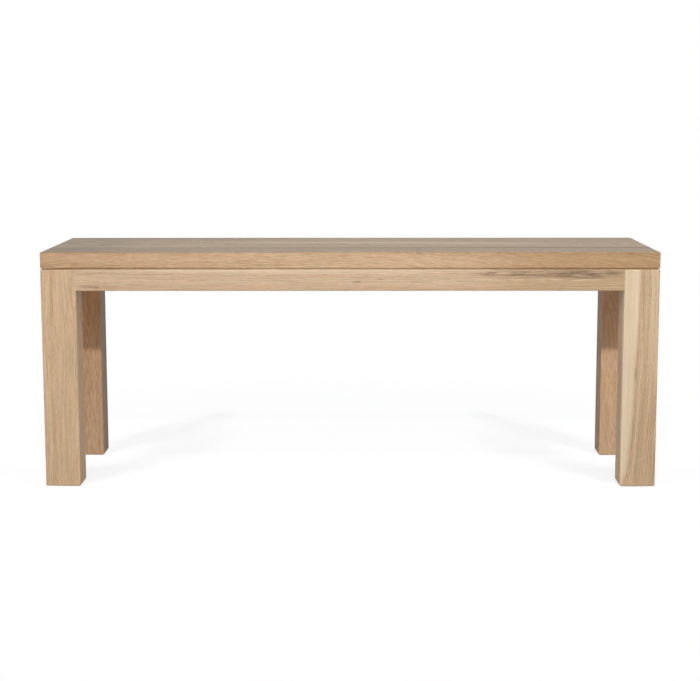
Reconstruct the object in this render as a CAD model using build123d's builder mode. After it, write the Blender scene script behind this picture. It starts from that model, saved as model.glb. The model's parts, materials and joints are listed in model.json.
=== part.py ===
from build123d import *

import os
from math import asin, atan2, cos, hypot, sin, sqrt

os.makedirs("parts", exist_ok=True)

# A backless solid oak bench. X runs along its length, Y across it with the front at -Y, and Z up.
# The origin is on the floor, under the middle of the seat. All lengths are in millimetres.

# Overall sizes
bench_length = 1200.0
bench_depth = 355.0
frame_height = 430.0  # floor to the underside of the seat
seat_thick = 33.0
arris_round = 2.0  # the edges that show are eased to this radius

# A rebate round the underside of the seat leaves a dark line between it and the frame
shadow_height = 2.0
shadow_depth = 3.0
shadow_arris = 0.8

# Legs and aprons, flush with each other on the outside
leg_side = 68.0
apron_height = 42.0
apron_thick = 22.0

# Haunched tenons of the aprons and their blind mortises in the legs
tenon_thick = 10.0
tenon_length = 40.0
tenon_shoulder_below = 5.0
haunch_height = 14.0
haunch_length = 10.0
tenon_chamfer = 2.0
glue_room = 1.5  # a mortise or slot is this much deeper than what it takes
joint_clearance = 0.1

# Seat panel: three edge-glued boards, from the front to the back
board_width_shares = (0.31, 0.35, 0.34)
biscuit_count = 6
biscuit_length = 56.0
biscuit_width = 23.0
biscuit_thick = 4.0
biscuit_play = 5.0  # how far a biscuit can slide each way in its slot before the glue sets

# Wooden buttons that hold the seat down and let it move across the grain
groove_depth = 6.0
groove_height = 6.5
groove_drop = 12.0  # top of the apron to the top of the groove
button_width = 25.0
button_length = 32.0
button_gap = 1.0  # button to apron, taken up when the seat moves
tongue_thick = 6.0
tongue_length = 6.0  # from the button's shoulder
button_corner = 3.0  # cut off the two corners that would catch when the button turns
button_place_shares = (0.4, 0.88)  # of the way from the middle of a long apron to its corner brace

# Corner braces across the inner corners of the frame
brace_thick = 20.0
brace_height = 33.0
brace_drop = 3.0  # below the seat
brace_leg_gap = 1.5
brace_button_gap = 20.0  # to the button in the middle of the short apron
brace_screw_inset = 10.5  # from the brace's outer edge, along the apron
brace_screw_lift = 10.0  # above the brace's lower face
brace_head_sunk = 1.0  # at the shallow side of the slanted face

# Centre rail between the long aprons
rail_width = 24.0
rail_height = 36.0
stub_thick = 10.0
stub_height = 12.0
stub_length = 9.0
stub_shoulder_below = 3.0
rail_bore_depth = 16.0
rail_slot_play = 3.0  # each way, where the seat's outer boards move

# Fasteners
screw_shank_radius = 2.0
screw_head_radius = 4.0
screw_clearance = 0.15
button_screw_length = 35.0
brace_screw_length = 30.0
rail_screw_length = 34.0  # under the head
pan_head_height = 2.8
washer_radius = 5.0
washer_thick = 1.0
bore_clearance = 0.6  # round a washer in its counterbore

# Glides under the feet
glide_radius = 11.0
glide_thick = 4.0
glide_proud = 1.0
glide_rim_chamfer = 0.8
glide_clearance = 0.2
nail_radius = 1.3
nail_head_radius = 4.0
nail_head_thick = 1.0
nail_head_sunk = 0.6
nail_length = 20.0

# Places that follow from the sizes
half_length = bench_length / 2
half_depth = bench_depth / 2
apron_bottom = frame_height - apron_height
clear_length = bench_length - 2 * leg_side
clear_depth = bench_depth - 2 * leg_side
apron_inner_x = half_length - apron_thick
apron_inner_y = half_depth - apron_thick
tenon_bottom = apron_bottom + tenon_shoulder_below
tenon_top = frame_height - haunch_height
groove_top = frame_height - groove_drop
rail_bottom = frame_height - rail_height
up = Axis.Z.direction
corners = [(-1, -1), (1, -1), (-1, 1), (1, 1)]  # front left, front right, back left, back right
corner_names = ["front_left", "front_right", "back_left", "back_right"]


def save(builder, name):
    builder.part.label = name
    export_step(builder.part, f"parts/{name}.step")


def shoulder_plane(plane_x, plane_y, into):
    # at floor level in the shoulder of a tenon, looking into the leg, with local Y up
    return Plane(origin=(plane_x, plane_y, 0), x_dir=up.cross(into), z_dir=into)


def section(plane, width, low, high, clearance=0.0):
    # an upright rectangle on a shoulder plane, from one height to another
    with BuildSketch(plane) as outline:
        with Locations((0, (low + high) / 2)):
            Rectangle(width + 2 * clearance, high - low + 2 * clearance)
    return outline.sketch


# Where the boards of the seat meet
board_edges = [-half_depth]
for share in board_width_shares:
    board_edges.append(board_edges[-1] + share * bench_depth)
board_middles = [(low + high) / 2 for low, high in zip(board_edges, board_edges[1:])]
glue_lines = board_edges[1:-1]
biscuit_pitch = bench_length / biscuit_count

# A brace passes the leg's inner arris and ends short of the button in the middle of the short apron.
# That sets its angle. Its faces are given by their distance from the inner corner of the two aprons.
brace_pivot = leg_side - apron_thick + brace_leg_gap / sqrt(2)
brace_run = apron_inner_y - button_width / 2 - brace_button_gap - brace_pivot
brace_angle = atan2(brace_pivot, brace_run) + asin(brace_thick / hypot(brace_pivot, brace_run))
brace_outer = brace_pivot * (cos(brace_angle) + sin(brace_angle))
brace_inner = brace_outer + brace_thick
brace_bottom = frame_height - brace_drop - brace_height
brace_screw_height = brace_bottom + brace_screw_lift


def brace_screw(lean, other_lean):
    # how far along its apron a brace's screw stands, and how far its head is from that apron
    along = brace_outer / lean + brace_screw_inset
    seat = (brace_inner - (along + screw_head_radius) * lean) / other_lean - brace_head_sunk
    return along, seat


long_along, long_seat = brace_screw(cos(brace_angle), sin(brace_angle))
short_along, short_seat = brace_screw(sin(brace_angle), cos(brace_angle))

# Where the buttons stand: the middle of each one's shoulder at floor level, and its direction inwards
button_reach = apron_inner_x - brace_inner / cos(brace_angle) - button_width / 2
button_line = [side * share * button_reach for side in (-1, 1) for share in button_place_shares]
button_line.sort()
button_places = {}
shoulder_x = apron_inner_x - button_gap
shoulder_y = apron_inner_y - button_gap
for number, button_x in enumerate(button_line, start=1):
    button_places[f"button_front_{number}"] = (Vector(button_x, -shoulder_y, 0), Vector(0, 1, 0))
    button_places[f"button_back_{number}"] = (Vector(button_x, shoulder_y, 0), Vector(0, -1, 0))
button_places["button_left"] = (Vector(-shoulder_x, 0, 0), Vector(1, 0, 0))
button_places["button_right"] = (Vector(shoulder_x, 0, 0), Vector(-1, 0, 0))
button_bottom = groove_top - tongue_thick

# Screw entries: planes at the top of each head, facing away from the wood
button_entries = []
for foot, inwards in button_places.values():
    head = foot + inwards * (button_length / 2) + up * button_bottom
    button_entries.append(Plane(origin=head, z_dir=-up))

rail_seat = rail_bottom + rail_bore_depth
rail_entries = [Plane(origin=(0, middle, rail_seat - washer_thick), z_dir=-up) for middle in board_middles]


def brace_entries(side_x, side_y):
    # one screw into the long apron and one into the short apron of this corner
    into_long = Plane(
        origin=(
            side_x * (apron_inner_x - long_along),
            side_y * (apron_inner_y - long_seat),
            brace_screw_height,
        ),
        x_dir=up,
        z_dir=(0, -side_y, 0),
    )
    into_short = Plane(
        origin=(
            side_x * (apron_inner_x - short_seat),
            side_y * (apron_inner_y - short_along),
            brace_screw_height,
        ),
        x_dir=up,
        z_dir=(-side_x, 0, 0),
    )
    return into_long, into_short


def make_leg(name, side_x, side_y):
    leg_x = side_x * (half_length - leg_side / 2)
    leg_y = side_y * (half_depth - leg_side / 2)
    outwards = Axis((leg_x, leg_y, 0), (side_x, side_y, 0))
    apron_x = side_x * (half_length - apron_thick / 2)
    apron_y = side_y * (half_depth - apron_thick / 2)
    long_joint = shoulder_plane(side_x * (half_length - leg_side), apron_y, Vector(side_x, 0, 0))
    short_joint = shoulder_plane(apron_x, side_y * (half_depth - leg_side), Vector(0, side_y, 0))

    with BuildPart() as leg:
        with BuildSketch(Plane.XY.offset(glide_proud)):
            with Locations((leg_x, leg_y)):
                Rectangle(leg_side, leg_side)
        extrude(amount=frame_height - glide_proud)

        # the inner and the outer arris are eased all the way, and so are the foot and the two outer top edges
        upright = leg.edges().filter_by(Axis.Z).sort_by(outwards)
        foot_edges = leg.faces().sort_by(Axis.Z)[0].edges()
        top_edges = leg.faces().sort_by(Axis.Z)[-1].edges().sort_by(outwards)[2:]
        fillet([upright[0], upright[-1], *foot_edges, *top_edges], radius=arris_round)

        # the two arrises beside the aprons are eased only below them, so that the joints stay flush
        stopped = [
            (side_x * (half_length - leg_side), side_y * half_depth),
            (side_x * half_length, side_y * (half_depth - leg_side)),
        ]
        with BuildSketch(Plane.XY.offset(glide_proud)):
            with Locations(*stopped):
                Rectangle(2 * arris_round, 2 * arris_round)
            with Locations(
                (stopped[0][0] + side_x * arris_round, stopped[0][1] - side_y * arris_round),
                (stopped[1][0] - side_x * arris_round, stopped[1][1] + side_y * arris_round),
            ):
                Circle(arris_round, mode=Mode.SUBTRACT)
        extrude(amount=apron_bottom - glide_proud, mode=Mode.SUBTRACT)

        # a blind mortise for each apron, with an open groove above it for the haunch
        for joint in (long_joint, short_joint):
            extrude(
                section(joint, tenon_thick, tenon_bottom, tenon_top, joint_clearance),
                amount=tenon_length + glue_room,
                mode=Mode.SUBTRACT,
            )
            extrude(
                section(joint, tenon_thick, tenon_top, frame_height, joint_clearance),
                amount=haunch_length + glue_room,
                mode=Mode.SUBTRACT,
            )

        # the glide's recess and its nail's hole
        with Locations((leg_x, leg_y, glide_proud)):
            Cylinder(
                glide_radius + glide_clearance,
                glide_thick - glide_proud,
                align=(Align.CENTER, Align.CENTER, Align.MIN),
                mode=Mode.SUBTRACT,
            )
        with Locations((leg_x, leg_y, 0)):
            Cylinder(
                nail_radius + joint_clearance,
                nail_head_sunk + nail_length + glue_room,
                align=(Align.CENTER, Align.CENTER, Align.MIN),
                mode=Mode.SUBTRACT,
            )
    save(leg, f"leg_{name}")


def make_apron(name, outwards, reach, length, entries, stub_joint=None):
    # outwards is the way its outer face looks, reach the distance of that face from the middle of the bench
    along = up.cross(outwards)
    face_middle = outwards * reach
    core_middle = outwards * (reach - apron_thick / 2)

    with BuildPart() as apron:
        # its section: eased outside and below, with the buttons' groove inside
        with BuildSketch(Plane(origin=face_middle, x_dir=outwards, z_dir=outwards.cross(up))):
            with Locations((-apron_thick / 2, apron_bottom + apron_height / 2)):
                Rectangle(apron_thick, apron_height)
            fillet(vertices().group_by(Axis.X)[-1], radius=arris_round)
            fillet(vertices().group_by(Axis.X)[0].sort_by(Axis.Y)[0], radius=arris_round)
            with Locations((-apron_thick, groove_top)):
                Rectangle(
                    groove_depth, groove_height, align=(Align.MIN, Align.MAX), mode=Mode.SUBTRACT
                )
        extrude(amount=length / 2, both=True)

        # a haunched tenon at each end
        for end in (-1, 1):
            shoulder = core_middle + along * (end * length / 2)
            joint = shoulder_plane(shoulder.X, shoulder.Y, along * end)
            extrude(section(joint, tenon_thick, tenon_bottom, tenon_top), amount=tenon_length)
            extrude(section(joint, tenon_thick, tenon_top, frame_height), amount=haunch_length)
        by_reach = apron.faces().sort_by(Axis((0, 0, 0), along))
        chamfer(by_reach[0].edges() + by_reach[-1].edges(), length=tenon_chamfer)

        # the corner braces' screws, and the centre rail's stub mortise
        with Locations(*entries):
            Cylinder(
                screw_shank_radius + screw_clearance,
                brace_screw_length + screw_clearance,
                align=(Align.CENTER, Align.CENTER, Align.MAX),
                mode=Mode.SUBTRACT,
            )
        if stub_joint:
            extrude(
                section(stub_joint, stub_thick, stub_bottom, stub_top, joint_clearance),
                amount=stub_length + glue_room,
                mode=Mode.SUBTRACT,
            )
    save(apron, f"apron_{name}")


def make_board(name, low, high):
    with BuildPart() as board:
        # the whole panel, eased all round and rebated below, then the part of it that this board makes
        with BuildSketch(Plane.XY.offset(frame_height + shadow_height)):
            Rectangle(bench_length, bench_depth)
        extrude(amount=seat_thick - shadow_height)
        lower_edges = board.faces().sort_by(Axis.Z)[0].edges()
        fillet(board.edges() - lower_edges, radius=arris_round)
        fillet(board.faces().sort_by(Axis.Z)[0].edges(), radius=shadow_arris)
        with BuildSketch(Plane.XY.offset(frame_height)):
            Rectangle(bench_length - 2 * shadow_depth, bench_depth - 2 * shadow_depth)
        extrude(amount=shadow_height)
        with BuildSketch(Plane.XY.offset(frame_height)):
            with Locations((0, (low + high) / 2)):
                Rectangle(bench_length, high - low)
        extrude(amount=seat_thick, mode=Mode.INTERSECT)

        # slots for the biscuits, half in this board and half in its neighbour
        for line in glue_lines:
            if low <= line <= high:
                extrude(
                    biscuit_outline(line, biscuit_play, glue_room),
                    amount=biscuit_thick / 2 + joint_clearance,
                    both=True,
                    mode=Mode.SUBTRACT,
                )

        # holes for the screws that come up from the buttons and the centre rail
        for entries, length in (
            (button_entries, button_screw_length),
            (rail_entries, pan_head_height + rail_screw_length),
        ):
            here = [entry for entry in entries if low < entry.origin.Y < high]
            if here:
                with Locations(*here):
                    Cylinder(
                        screw_shank_radius + screw_clearance,
                        length + screw_clearance,
                        align=(Align.CENTER, Align.CENTER, Align.MAX),
                        mode=Mode.SUBTRACT,
                    )
    save(board, f"seat_board_{name}")


def biscuit_outline(line, play=0.0, room=0.0):
    # the row of lens-shaped outlines along one glue line, at half the seat's thickness
    half_chord = biscuit_length / 2 + play
    bulge = biscuit_width / 2 + room
    with BuildSketch(Plane.XY.offset(frame_height + seat_thick / 2)) as outline:
        with BuildLine(mode=Mode.PRIVATE) as lens:
            ThreePointArc((-half_chord, 0), (0, bulge), (half_chord, 0))
            ThreePointArc((half_chord, 0), (0, -bulge), (-half_chord, 0))
        one = make_face(lens.edges(), mode=Mode.PRIVATE)
        with Locations((0, line)):
            with GridLocations(biscuit_pitch, biscuit_pitch, biscuit_count, 1):
                add(one)
    return outline.sketch


def make_biscuits(name, line):
    with BuildPart() as biscuits:
        extrude(biscuit_outline(line), amount=biscuit_thick / 2, both=True)
    save(biscuits, f"seat_biscuits_{name}")


def make_button(name, foot, inwards):
    with BuildPart() as button:
        # seen from the side: the block under the seat, and the tongue that reaches into the groove
        with BuildSketch(Plane(origin=foot, x_dir=inwards, z_dir=inwards.cross(up))):
            with Locations((0, button_bottom)):
                Rectangle(button_length, frame_height - button_bottom, align=Align.MIN)
                Rectangle(tongue_length, tongue_thick, align=(Align.MAX, Align.MIN))
        extrude(amount=button_width / 2, both=True)
        inner_end = button.edges().filter_by(Axis.Z).group_by(Axis(foot, inwards))[-1]
        chamfer(inner_end, length=button_corner)
        with Locations(Plane(origin=foot + inwards * (button_length / 2) + up * button_bottom, z_dir=-up)):
            CounterSinkHole(
                screw_shank_radius + screw_clearance,
                screw_head_radius + screw_clearance,
                counter_sink_angle=90,
            )
    save(button, name)


def make_brace(name, side_x, side_y):
    def corner_point(from_short, from_long):
        # distances from the inner faces of the short and the long apron
        return side_x * (apron_inner_x - from_short), side_y * (apron_inner_y - from_long)

    with BuildPart() as brace:
        with BuildSketch(Plane.XY.offset(brace_bottom)):
            with BuildLine():
                Polyline(
                    corner_point(brace_outer / cos(brace_angle), 0),
                    corner_point(brace_inner / cos(brace_angle), 0),
                    corner_point(0, brace_inner / sin(brace_angle)),
                    corner_point(0, brace_outer / sin(brace_angle)),
                    close=True,
                )
            make_face()
        extrude(amount=brace_height)
        # its screws stand square to the aprons, with their heads below the slanted face
        with Locations(*brace_entries(side_x, side_y)):
            CounterSinkHole(
                screw_shank_radius + screw_clearance,
                screw_head_radius + screw_clearance,
                depth=brace_screw_length,
                counter_sink_angle=90,
            )
    save(brace, f"corner_brace_{name}")


stub_bottom = rail_bottom + stub_shoulder_below
stub_top = stub_bottom + stub_height
stub_joints = [shoulder_plane(0, side_y * apron_inner_y, Vector(0, side_y, 0)) for side_y in (-1, 1)]


def make_rail():
    with BuildPart() as rail:
        for joint in stub_joints:
            extrude(section(joint, rail_width, rail_bottom, frame_height), amount=-apron_inner_y)
            extrude(section(joint, stub_thick, stub_bottom, stub_top), amount=stub_length)
        # counterbored from below: a round hole in the middle, and slots for the boards that move
        for place, entry in enumerate(rail_entries):
            play = 0 if place == len(rail_entries) // 2 else rail_slot_play
            for radius, low, high in (
                (washer_radius + bore_clearance, rail_bottom, rail_seat),
                (screw_shank_radius + screw_clearance, rail_seat, frame_height),
            ):
                with BuildSketch(Plane.XY.offset(low)):
                    with Locations((0, entry.origin.Y)):
                        if play:
                            SlotCenterToCenter(2 * play, 2 * radius, rotation=90)
                        else:
                            Circle(radius)
                extrude(amount=high - low, mode=Mode.SUBTRACT)
    save(rail, "centre_rail")


def make_screws(name, entries, length, head_height=0.0):
    # countersunk heads, or pan heads of the given height that stand on their washers
    with BuildPart() as screws:
        for entry in entries:
            with BuildSketch(Plane(origin=entry.origin, x_dir=entry.x_dir, z_dir=-entry.y_dir)):
                with BuildLine():
                    if head_height:
                        Polyline(
                            (0, head_height),
                            (screw_head_radius - head_height / 2, head_height),
                            (screw_head_radius, head_height / 2),
                            (screw_head_radius, 0),
                            (screw_shank_radius, 0),
                            (screw_shank_radius, -length),
                            (0, -length),
                            close=True,
                        )
                    else:
                        Polyline(
                            (0, 0),
                            (screw_head_radius, 0),
                            (screw_shank_radius, screw_shank_radius - screw_head_radius),
                            (screw_shank_radius, -length),
                            (0, -length),
                            close=True,
                        )
                make_face()
            revolve(axis=Axis(entry.origin, entry.z_dir))
    save(screws, name)


def make_washers():
    with BuildPart() as washers:
        with BuildSketch(Plane.XY.offset(rail_seat - washer_thick)):
            with Locations(*[(0, entry.origin.Y) for entry in rail_entries]):
                Circle(washer_radius)
                Circle(screw_shank_radius + screw_clearance, mode=Mode.SUBTRACT)
        extrude(amount=washer_thick)
    save(washers, "rail_washers")


def make_glide(name, side_x, side_y):
    foot_x = side_x * (half_length - leg_side / 2)
    foot_y = side_y * (half_depth - leg_side / 2)
    with BuildPart() as glide:
        with BuildSketch(Plane.XY):
            with Locations((foot_x, foot_y)):
                Circle(glide_radius)
        extrude(amount=glide_thick)
        chamfer(glide.faces().sort_by(Axis.Z)[0].edges(), length=glide_rim_chamfer)
        with Locations(Plane(origin=(foot_x, foot_y, 0), z_dir=-up)):
            CounterBoreHole(
                nail_radius + joint_clearance,
                nail_head_radius + joint_clearance,
                nail_head_sunk + nail_head_thick,
            )
    save(glide, f"glide_{name}")


def make_nails():
    head_low = nail_head_sunk
    head_top = head_low + nail_head_thick
    tip = head_low + nail_length
    with BuildPart() as nails:
        for side_x, side_y in corners:
            nail_x = side_x * (half_length - leg_side / 2)
            nail_y = side_y * (half_depth - leg_side / 2)
            with BuildSketch(Plane.XZ.offset(-nail_y)):
                with BuildLine():
                    Polyline(
                        (nail_x, head_low),
                        (nail_x + nail_head_radius, head_low),
                        (nail_x + nail_head_radius, head_top),
                        (nail_x + nail_radius, head_top),
                        (nail_x + nail_radius, tip),
                        (nail_x, tip),
                        close=True,
                    )
                make_face()
            revolve(axis=Axis((nail_x, nail_y, 0), up))
    save(nails, "glide_nails")


for name, low, high in zip(("front", "middle", "back"), board_edges, board_edges[1:]):
    make_board(name, low, high)
for name, line in zip(("front", "back"), glue_lines):
    make_biscuits(name, line)

for name, (side_x, side_y) in zip(corner_names, corners):
    make_leg(name, side_x, side_y)
    make_brace(name, side_x, side_y)
    make_glide(name, side_x, side_y)
make_nails()

for name, side_y, stub_joint in (("front", -1, stub_joints[0]), ("back", 1, stub_joints[1])):
    long_entries = [brace_entries(side_x, side_y)[0] for side_x in (-1, 1)]
    make_apron(name, Vector(0, side_y, 0), half_depth, clear_length, long_entries, stub_joint)
for name, side_x in (("left", -1), ("right", 1)):
    short_entries = [brace_entries(side_x, side_y)[1] for side_y in (-1, 1)]
    make_apron(name, Vector(side_x, 0, 0), half_length, clear_depth, short_entries)
make_rail()

for name, (foot, inwards) in button_places.items():
    make_button(name, foot, inwards)

make_screws("button_screws", button_entries, button_screw_length)
all_brace_entries = [entry for corner in corners for entry in brace_entries(*corner)]
make_screws("brace_screws", all_brace_entries, brace_screw_length)
make_screws("rail_screws", rail_entries, rail_screw_length, pan_head_height)
make_washers()
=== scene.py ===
import json
import math
import random

import bpy
from mathutils import Matrix, Vector

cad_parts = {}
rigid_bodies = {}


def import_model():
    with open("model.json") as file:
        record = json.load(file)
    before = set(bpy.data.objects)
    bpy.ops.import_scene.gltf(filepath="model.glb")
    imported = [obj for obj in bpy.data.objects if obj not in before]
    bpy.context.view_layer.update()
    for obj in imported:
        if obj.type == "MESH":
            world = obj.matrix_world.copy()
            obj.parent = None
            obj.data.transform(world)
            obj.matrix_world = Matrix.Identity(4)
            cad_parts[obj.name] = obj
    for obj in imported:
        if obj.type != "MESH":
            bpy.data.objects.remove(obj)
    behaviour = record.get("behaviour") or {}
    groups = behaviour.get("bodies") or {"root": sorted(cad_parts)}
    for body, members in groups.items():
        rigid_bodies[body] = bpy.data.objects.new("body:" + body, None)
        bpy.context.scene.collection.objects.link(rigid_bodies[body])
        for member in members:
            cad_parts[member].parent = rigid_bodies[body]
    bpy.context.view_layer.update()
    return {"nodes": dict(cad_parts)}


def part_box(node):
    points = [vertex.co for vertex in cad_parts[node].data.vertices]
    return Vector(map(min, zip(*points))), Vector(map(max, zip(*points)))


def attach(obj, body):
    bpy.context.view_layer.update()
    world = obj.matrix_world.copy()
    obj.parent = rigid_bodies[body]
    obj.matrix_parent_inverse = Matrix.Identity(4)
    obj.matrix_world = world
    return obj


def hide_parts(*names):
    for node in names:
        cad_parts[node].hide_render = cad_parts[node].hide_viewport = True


# A solid oak bench: the wood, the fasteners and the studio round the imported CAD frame.
# Objects are in metres. Inside the wood's shaders and the dictionaries below, lengths are in millimetres.

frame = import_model()
mm = 0.001


def paint(red, green, blue):
    # a colour as it is read off a screen, made linear for the shaders
    def straighten(value):
        value /= 255
        return value / 12.92 if value <= 0.04045 else ((value + 0.055) / 1.055) ** 2.4
    return (straighten(red), straighten(green), straighten(blue), 1.0)


# Node trees written as sums

class Wire:
    # an output that can stand in a Python sum; each operator adds its Math node
    def __init__(self, tree, socket):
        self.tree = tree
        self.socket = socket

    def math(self, operation, *others):
        return self.tree.node("ShaderNodeMath", {"operation": operation}, (self, *others))

    def __add__(self, other):
        return self.math("ADD", other)

    def __radd__(self, other):
        return self.math("ADD", other)

    def __sub__(self, other):
        return self.math("SUBTRACT", other)

    def __rsub__(self, other):
        return self.tree.node("ShaderNodeMath", {"operation": "SUBTRACT"}, (other, self))

    def __mul__(self, other):
        return self.math("MULTIPLY", other)

    def __rmul__(self, other):
        return self.math("MULTIPLY", other)

    def __truediv__(self, other):
        return self.math("DIVIDE", other)

    def __rtruediv__(self, other):
        return self.tree.node("ShaderNodeMath", {"operation": "DIVIDE"}, (other, self))

    def __pow__(self, other):
        return self.math("POWER", other)

    def __abs__(self):
        return self.math("ABSOLUTE")

    def clamped(self):
        return self.tree.node("ShaderNodeClamp", {}, (self, 0.0, 1.0))

    def rise(self, low, high):
        # 0 below low, 1 above high, smooth between
        return self.tree.node("ShaderNodeMapRange", {"interpolation_type": "SMOOTHSTEP"},
                              {"Value": self, "From Min": low, "From Max": high})


class Tree:
    def __init__(self, nodeTree):
        self.nodes = nodeTree.nodes
        self.links = nodeTree.links

    def node(self, kind, settings, inputs, output=0):
        # the settings go first, then the inputs, by place or by name, as values or wires
        made = self.nodes.new(kind)
        for name, value in settings.items():
            setattr(made, name, value)
        for key, value in (inputs.items() if isinstance(inputs, dict) else enumerate(inputs)):
            if isinstance(value, Wire):
                self.links.new(value.socket, made.inputs[key])
            elif value is not None:
                made.inputs[key].default_value = value
        return Wire(self, made.outputs[output]) if made.outputs else None

    def point(self, x, y, z):
        return self.node("ShaderNodeCombineXYZ", {}, (x, y, z))

    def vector(self, operation, *values, output=0):
        return self.node("ShaderNodeVectorMath", {"operation": operation}, values, output)


class Shader(Tree):
    def __init__(self, name):
        self.material = bpy.data.materials.new(name)
        self.material.use_nodes = True
        super().__init__(self.material.node_tree)
        self.nodes.clear()

    def mix(self, factor, first, second, blend="MIX"):
        return self.node("ShaderNodeMix", {"data_type": "RGBA", "blend_type": blend},
                         {0: factor, 6: first, 7: second}, output=2)

    def noise(self, x, y, z, detail=1.0, roughness=0.5, output=0):
        return self.node("ShaderNodeTexNoise", {}, {
            "Vector": self.point(x, y, z), "Scale": 1.0, "Detail": detail, "Roughness": roughness,
        }, output)

    def spots(self, x, y, z):
        # distance to the nearest of a scatter of points
        return self.node("ShaderNodeTexVoronoi", {"feature": "F1"},
                         {"Vector": self.point(x, y, z), "Scale": 1.0})

    def place(self, *ways):
        # where a point of the piece is, in millimetres along each way
        spot = self.node("ShaderNodeTexCoord", {}, (), "Object")
        return [self.vector("DOT_PRODUCT", spot, tuple(Vector(way) / mm), output="Value") for way in ways]

    def facing(self, way):
        # 1 where the surface looks along the way, 0 where it is edge on, -1 where it looks back
        normal = self.node("ShaderNodeTexCoord", {}, (), "Normal")
        return self.vector("DOT_PRODUCT", normal, tuple(way), output="Value")

    def finish(self, colour, roughness, height, depth, metallic=0.0, specular=0.5):
        # height runs from 0 to 1 and stands for depth in millimetres
        normal = self.node("ShaderNodeBump", {}, {
            "Height": height, "Distance": depth * mm, "Strength": 1.0,
        })
        surface = self.node("ShaderNodeBsdfPrincipled", {}, {
            "Base Color": colour, "Roughness": roughness, "Metallic": metallic,
            "Specular IOR Level": specular, "Normal": normal,
        })
        self.node("ShaderNodeOutputMaterial", {}, {"Surface": surface})
        return self.material


# Oak. Each piece is cut from its own place in a trunk: its figure comes from the distance to the pith.
# grain is the way its fibres run. pith is where the trunk's middle passes at the origin, given as two
# distances across the grain (the first horizontal where it can be), with its slope and its bend along it.
# Lengths are taken along the fibres and widths across them. An edge is the pair of values between which a
# thing comes in or fades.

finishOfOak = {
    "drift": {"length": 240.0, "width": 80.0},
    "ripple": {"length": 42.0, "width": 9.0, "size": 1.8},
    "growth": {"width": 19.0, "size": 5.0, "seedStep": 1.7},
    "spring": {"rise": (0.0, 0.12), "fall": (0.22, 0.62), "mean": 0.35, "ringShare": 0.5, "depth": 0.1},
    "pore": {"colour": paint(122, 88, 60), "length": 9.0, "gap": 0.62, "edge": (0.16, 0.42), "inSummer": 0.15,
             "strength": 0.42, "depth": 0.6, "roughness": 0.2},
    "ray": {"colour": paint(222, 194, 158), "length": 16.0, "width": 11.0, "thickness": 0.5,
            "edge": (0.62, 0.72), "strength": 0.30, "gloss": 0.06},
    "broad": {"length": 420.0, "width": 13.0},
    "bands": {"stretch": 2.5, "width": 2.4},
    "fibres": {"depth": 0.25, "roughness": 0.12},
    "flecks": {"length": 11.0, "width": 1.1},
    "hues": {"stretch": 4.0, "width": 4.5, "edge": (0.4, 0.6)},
    "tinge": {"stretch": 0.5, "width": 2.0, "edge": (0.3, 0.7),
              "redder": (1.03, 0.992, 0.945, 1.0), "greener": (0.975, 1.004, 1.045, 1.0)},
    "tint": {"edge": (0.6, 0.95)},
    "mark": {"wobble": 4.0, "ragged": 0.8, "length": 30.0, "width": 1.7, "edge": (0.44, 0.56)},
    "glue": {"colour": paint(120, 92, 66), "edge": (0.25, 1.1), "strength": 0.55},
    "end": {"edge": (0.55, 0.9), "pale": paint(240, 234, 226), "deep": paint(188, 172, 158), "roughness": 0.15,
            "arcWidth": 2.6, "arcLength": 160.0, "arcs": 3.2, "springs": 0.3, "middle": 0.4, "seedStep": 0.3,
            "spokeLength": 24.0, "spokeWidth": 0.8, "spokeEdge": (0.56, 0.68), "spokes": 0.35},
    "surface": 0.75,
    "bumpDepth": 0.14,
}

# the ways that a face can look, and how nearly a grain has to run along an axis to count as upright
up = (0, 0, 1)
front = (0, -1, 0)
right = (1, 0, 0)
left = (-1, 0, 0)
squarely = 0.9

# light and dark are the ends of each wood's range, and dark runs to dusk in places, which is greener or redder.
# The seat has had more coats than the frame, so it is smoother.
frameOak = {"roughness": 0.66, "specular": 0.4, "grainLength": 60.0, "wander": 16.0, "bend": (0.0, 0.0),
            "tints": (), "mottle": 0.6, "banding": 0.6, "fibres": 1.6, "fibreWidth": 1.3, "flecks": 0.5}
warmOak = dict(frameOak, light=paint(218, 188, 154), dark=paint(181, 145, 112), dusk=paint(173, 144, 107))
paleOak = dict(frameOak, light=paint(216, 189, 159), dark=paint(180, 143, 112), dusk=paint(171, 145, 114))
brownOak = dict(frameOak, light=paint(209, 171, 136), dark=paint(171, 126, 93), dusk=paint(165, 127, 91))
tanOak = dict(frameOak, light=paint(226, 189, 152), dark=paint(188, 143, 107), dusk=paint(180, 143, 103))
seatOak = dict(
    frameOak, light=paint(206, 172, 137), dark=paint(165, 126, 91), dusk=paint(159, 127, 89),
    roughness=0.52, grainLength=30.0, banding=0.8, fibres=1.1, flecks=0.9,
)
edgeOak = dict(seatOak, light=paint(208, 175, 141), dark=paint(168, 129, 96), dusk=paint(161, 131, 92),
               mottle=0.8, banding=0.5, fibres=1.5, flecks=0.6)

# each board's top carries a painted grey shade with a cool cast, standing in for how the light falls on the top
seatBoards = {
    "seat_board_front": dict(
        edgeOak, grain=(1, 0, 0), seed=3, pith=(-150.0, 540.0), slope=(0.0, -0.06), bend=(0.0, -0.00009),
        ringWidth=2.2, figure=0.35, streak=1.0, tints=((up, paint(219, 228, 235)),),
    ),
    "seat_board_middle": dict(
        seatOak, grain=(1, 0, 0), seed=11, pith=(10.0, 380.0), slope=(0.01, 0.02),
        ringWidth=2.6, figure=0.9, streak=2.4, tints=((up, paint(236, 248, 257)),),
    ),
    "seat_board_back": dict(
        seatOak, grain=(1, 0, 0), seed=23, pith=(190.0, 400.0), slope=(-0.02, 0.0),
        ringWidth=2.2, figure=0.8, streak=2.4, tints=((up, paint(236, 249, 258)),),
    ),
}

# the inner side faces of the front left leg and of the back legs carry a painted shade, as the lamps reach them
# less
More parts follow.
